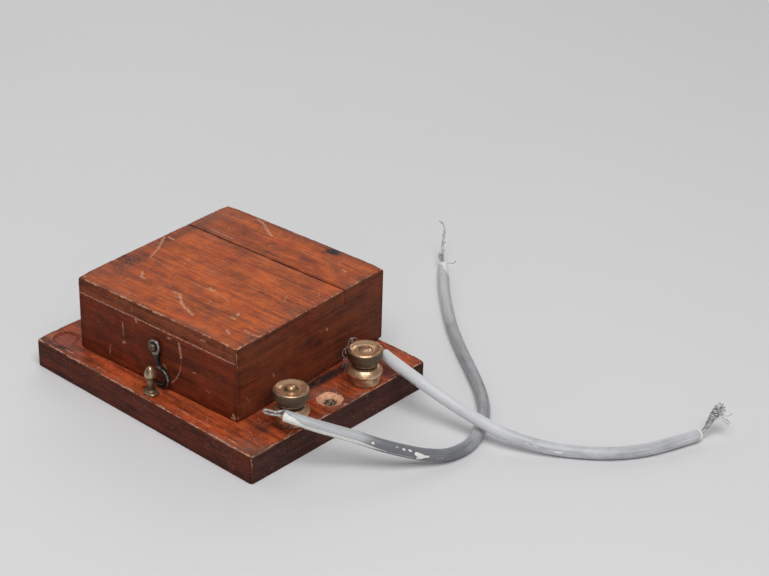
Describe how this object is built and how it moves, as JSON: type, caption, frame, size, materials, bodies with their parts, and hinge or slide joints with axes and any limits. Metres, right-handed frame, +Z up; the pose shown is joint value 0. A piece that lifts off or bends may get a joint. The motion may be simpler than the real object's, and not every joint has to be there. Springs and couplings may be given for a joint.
{
  "type": "testing buzzer",
  "caption": "Small wooden box buzzer on a baseboard, with brass screw terminals, cut insulated leads, a hinged cover held by a hook and a trembler works inside.",
  "frame": {"origin": "centre of the baseboard's underside", "axes": "+X along the front face towards the terminals, +Y from the hook face back to the hinges, +Z up"},
  "size_m": [0.2061, 0.1708, 0.04],
  "materials": {
    "mahogany_base": "worn varnish",
    "plug_wood": "stained filler",
    "mahogany_wall": "worn varnish",
    "mahogany_top": "worn varnish",
    "terminal_brass": "aged, lacquer gone",
    "pale_brass": "dull",
    "hinge_brass": "dull",
    "works_brass": "lacquered",
    "soft_iron": "blued",
    "screw_steel": "dull",
    "spring_steel": "bright",
    "contact_silver": "bright",
    "bobbin_fibre": "red fibre",
    "silk_wire": "green silk covered wire",
    "cotton_wire": "red cotton covered wire",
    "blackened_iron": "blackened, rubbed",
    "lead_front_grey": "semi gloss",
    "lead_rear_grey": "semi gloss",
    "tinned_strand": "tinned copper"
  },
  "bodies": {
    "base": {"baseboard": "mahogany_base", "fixing_hole_plug": "plug_wood", "front_terminal_stud": "terminal_brass", "rear_terminal_stud": "terminal_brass", "front_terminal_collar": "terminal_brass", "rear_terminal_collar": "terminal_brass", "stud_washers": "terminal_brass", "stud_nuts": "terminal_brass", "catch_post": "pale_brass", "left_hinge_base_leaf": "hinge_brass", "right_hinge_base_leaf": "hinge_brass", "left_hinge_pin": "hinge_brass", "right_hinge_pin": "hinge_brass", "hinge_base_screws": "hinge_brass", "yoke_bracket": "soft_iron", "works_screws": "screw_steel", "left_core": "soft_iron", "right_core": "soft_iron", "core_screws": "screw_steel", "left_bobbin": "bobbin_fibre", "right_bobbin": "bobbin_fibre", "left_winding": "silk_wire", "right_winding": "silk_wire", "armature_post": "works_brass", "spring_clamp_screw": "screw_steel", "contact_pillar": "works_brass", "contact_lock_nut": "works_brass", "front_feed_wire": "cotton_wire", "rear_feed_wire": "cotton_wire", "coil_link_wire": "cotton_wire", "armature_wire": "cotton_wire", "front_lead": "lead_front_grey", "rear_lead": "lead_rear_grey", "front_lead_conductor": "tinned_strand", "rear_lead_conductor": "tinned_strand", "front_lead_frayed_end": "tinned_strand", "rear_lead_frayed_end": "tinned_strand"},
    "cover": {"cover_front": "mahogany_wall", "cover_back": "mahogany_wall", "cover_left": "mahogany_wall", "cover_right": "mahogany_wall", "top_board_front": "mahogany_top", "top_board_rear": "mahogany_top", "left_hinge_cover_leaf": "hinge_brass", "right_hinge_cover_leaf": "hinge_brass", "hinge_cover_screws": "hinge_brass", "hook_screw": "screw_steel"},
    "hook": {"hook": "blackened_iron"},
    "front_clamp": {"front_clamp_washer": "terminal_brass"},
    "front_nut": {"front_thumb_nut": "terminal_brass"},
    "rear_clamp": {"rear_clamp_washer": "terminal_brass"},
    "rear_nut": {"rear_thumb_nut": "terminal_brass"},
    "armature": {"armature": "soft_iron", "armature_spring": "spring_steel", "armature_rivets": "screw_steel", "armature_contact": "contact_silver"},
    "contact_tip": {"contact_point": "contact_silver"},
    "contact_adjuster": {"contact_screw": "works_brass"}
  },
  "joints": [
    {"name": "cover_hinge", "type": "hinge", "parent": "base", "child": "cover", "pos_m": [-0.0049, 0.04525, 0.011], "axis": [-0.9988, -0.0489, 0], "range_deg": [0, 105]},
    {"name": "hook_swing", "type": "hinge", "parent": "cover", "child": "hook", "pos_m": [-0.00041, -0.03422, 0.0272], "axis": [0.0489, -0.9988, 0], "range_deg": [-8, 110]},
    {"name": "front_nut_lift", "type": "slide", "parent": "base", "child": "front_clamp", "axis": [0, 0, 1], "range_m": [0, 0.0032]},
    {"name": "front_nut_turn", "type": "hinge", "parent": "front_clamp", "child": "front_nut", "pos_m": [0.0493, -0.0185, 0.0215], "axis": [0, 0, 1], "range_deg": [0, 1445]},
    {"name": "rear_nut_lift", "type": "slide", "parent": "base", "child": "rear_clamp", "axis": [0, 0, 1], "range_m": [0, 0.0032]},
    {"name": "rear_nut_turn", "type": "hinge", "parent": "rear_clamp", "child": "rear_nut", "pos_m": [0.0493, 0.0185, 0.0215], "axis": [0, 0, 1], "range_deg": [0, 1445]},
    {"name": "armature_swing", "type": "hinge", "parent": "base", "child": "armature", "pos_m": [-0.0279, -0.0058, 0.0205], "axis": [0, 0, 1], "range_deg": [0, 1.3], "stiffness_Nm_per_rad": 0.5, "springref_deg": -1.15},
    {"name": "contact_feed", "type": "slide", "parent": "base", "child": "contact_tip", "axis": [0, -1, 0], "range_m": [0, 0.001]},
    {"name": "contact_turn", "type": "hinge", "parent": "contact_tip", "child": "contact_adjuster", "pos_m": [0.0031, -0.015, 0.0205], "axis": [0, -1, 0], "range_deg": [0, 725]}
  ],
  "couplings": [
    {"joint": "front_nut_turn", "follows": "front_nut_lift", "rad_per_m": 7854},
    {"joint": "rear_nut_turn", "follows": "rear_nut_lift", "rad_per_m": 7854},
    {"joint": "contact_turn", "follows": "contact_feed", "rad_per_m": 12566}
  ]
}
